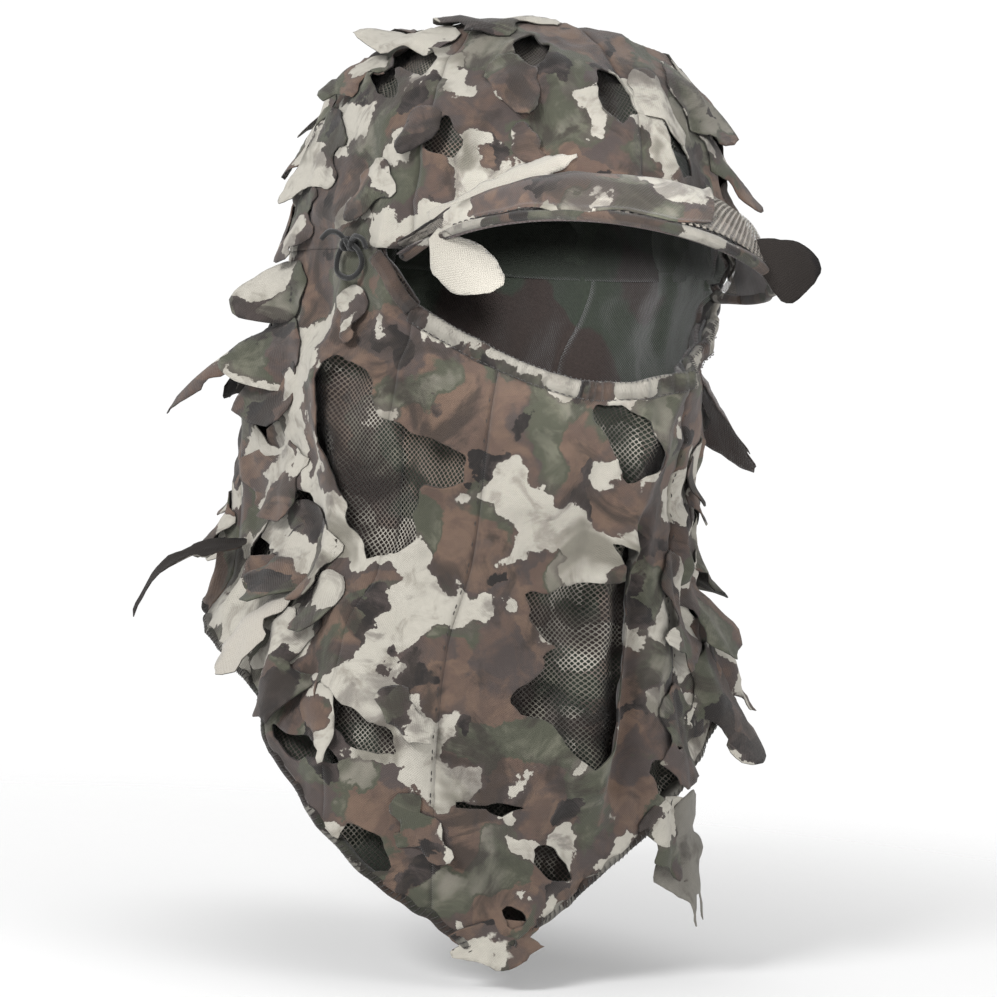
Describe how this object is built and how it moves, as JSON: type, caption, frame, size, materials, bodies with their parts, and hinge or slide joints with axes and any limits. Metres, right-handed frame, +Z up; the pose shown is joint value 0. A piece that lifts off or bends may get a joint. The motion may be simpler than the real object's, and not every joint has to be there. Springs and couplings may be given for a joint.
{
  "type": "leafy camouflage hood with bill and face cover",
  "caption": "Loose camouflage hood in leafy cloth over mesh, with a cap bill, an eye opening, a face cover that lifts and loose leaf flaps.",
  "frame": {"origin": "centre of the sweatband plane, where the hood sits on the head", "axes": "+Z up, the wearer faces -Y, +X is the wearer's left"},
  "size_m": [0.2706, 0.3822, 0.4418],
  "materials": {
    "leafy_camo_cloth": "matte die-cut printed polyester",
    "camo_mesh": "open knitted mesh, printed",
    "lining_cloth": "matte brushed",
    "sweatband_cloth": "matte terry",
    "edge_binding": "overlocked tape",
    "brim_board": "plain board",
    "elastic": "braided elastic cord"
  },
  "bodies": {
    "hood": {"crown_front_left": "leafy_camo_cloth", "crown_front_right": "leafy_camo_cloth", "crown_side_left": "leafy_camo_cloth", "crown_side_right": "leafy_camo_cloth", "crown_back_left": "leafy_camo_cloth", "crown_back_right": "leafy_camo_cloth", "crown_lining": "camo_mesh", "sweatband": "sweatband_cloth", "side_panel_left": "leafy_camo_cloth", "side_panel_right": "leafy_camo_cloth", "back_panel_left": "leafy_camo_cloth", "back_panel_right": "leafy_camo_cloth", "side_lining_left": "camo_mesh", "side_lining_right": "camo_mesh", "back_lining_left": "camo_mesh", "back_lining_right": "camo_mesh", "hem_binding_left": "edge_binding", "hem_binding_right": "edge_binding", "eye_corner_binding_left": "edge_binding", "eye_corner_binding_right": "edge_binding", "temple_loop_left": "elastic", "temple_loop_right": "elastic", "crown_leaves": "leafy_camo_cloth", "side_leaves_left": "leafy_camo_cloth", "side_leaves_right": "leafy_camo_cloth", "back_leaves": "leafy_camo_cloth"},
    "brim": {"brim_board": "brim_board", "brim_top_cover": "camo_mesh", "brim_under_cover": "lining_cloth", "brim_edge_binding": "edge_binding"},
    "face_cover": {"face_panel_centre": "leafy_camo_cloth", "face_panel_left": "leafy_camo_cloth", "face_panel_right": "leafy_camo_cloth", "face_lining": "camo_mesh", "eye_hem": "edge_binding", "eye_elastic": "elastic", "bib_hem_binding": "edge_binding", "face_leaves": "leafy_camo_cloth"},
    "brow_leaf": {"brow_leaf": "leafy_camo_cloth"},
    "brim_tip_leaf": {"brim_tip_leaf": "leafy_camo_cloth"},
    "cheek_leaf_left": {"cheek_leaf_left": "leafy_camo_cloth"},
    "strap_leaf_right": {"strap_leaf_right": "leafy_camo_cloth"},
    "strip_leaf_right": {"strip_leaf_right": "leafy_camo_cloth"},
    "curl_leaf_right": {"curl_leaf_right": "leafy_camo_cloth"},
    "hem_leaf_left": {"hem_leaf_left": "leafy_camo_cloth"}
  },
  "joints": [
    {"name": "brim_tilt", "type": "hinge", "parent": "hood", "child": "brim", "pos_m": [0, -0.112, 0.024], "axis": [-1, 0, 0], "range_deg": [-6, 10], "stiffness_Nm_per_rad": 2},
    {"name": "face_cover_lift", "type": "hinge", "parent": "hood", "child": "face_cover", "pos_m": [0, -0.048, -0.012], "axis": [-1, 0, 0], "range_deg": [0, 25]},
    {"name": "brow_leaf_swing", "type": "hinge", "parent": "brim", "child": "brow_leaf", "pos_m": [-0.08631, -0.07453, -0.00214], "axis": [-0.1682, 0.4205, -0.8915], "range_deg": [0, 30], "stiffness_Nm_per_rad": 0.02},
    {"name": "brim_tip_leaf_swing", "type": "hinge", "parent": "brim", "child": "brim_tip_leaf", "pos_m": [0.03997, -0.1681, 0.00705], "axis": [-0.5014, -0.8622, -0.0722], "range_deg": [-20, 25], "stiffness_Nm_per_rad": 0.02},
    {"name": "cheek_leaf_left_swing", "type": "hinge", "parent": "hood", "child": "cheek_leaf_left", "pos_m": [0.1018, -0.01929, -0.038], "axis": [-0.1571, -0.8911, 0.4258], "range_deg": [0, 35], "stiffness_Nm_per_rad": 0.02},
    {"name": "strap_leaf_right_swing", "type": "hinge", "parent": "hood", "child": "strap_leaf_right", "pos_m": [-0.09321, 0.06608, -0.042], "axis": [0.3961, 0.812, 0.4286], "range_deg": [0, 35], "stiffness_Nm_per_rad": 0.02},
    {"name": "strip_leaf_right_swing", "type": "hinge", "parent": "hood", "child": "strip_leaf_right", "pos_m": [-0.10557, -0.00334, -0.146], "axis": [-0.034, 0.9727, 0.2294], "range_deg": [0, 35], "stiffness_Nm_per_rad": 0.02},
    {"name": "curl_leaf_right_swing", "type": "hinge", "parent": "hood", "child": "curl_leaf_right", "pos_m": [-0.09643, 0.0693, -0.14], "axis": [0.3627, 0.8978, 0.2496], "range_deg": [0, 35], "stiffness_Nm_per_rad": 0.02},
    {"name": "hem_leaf_left_swing", "type": "hinge", "parent": "face_cover", "child": "hem_leaf_left", "pos_m": [0.07214, -0.08207, -0.24], "axis": [-0.8286, -0.5589, -0.033], "range_deg": [0, 35], "stiffness_Nm_per_rad": 0.02}
  ]
}
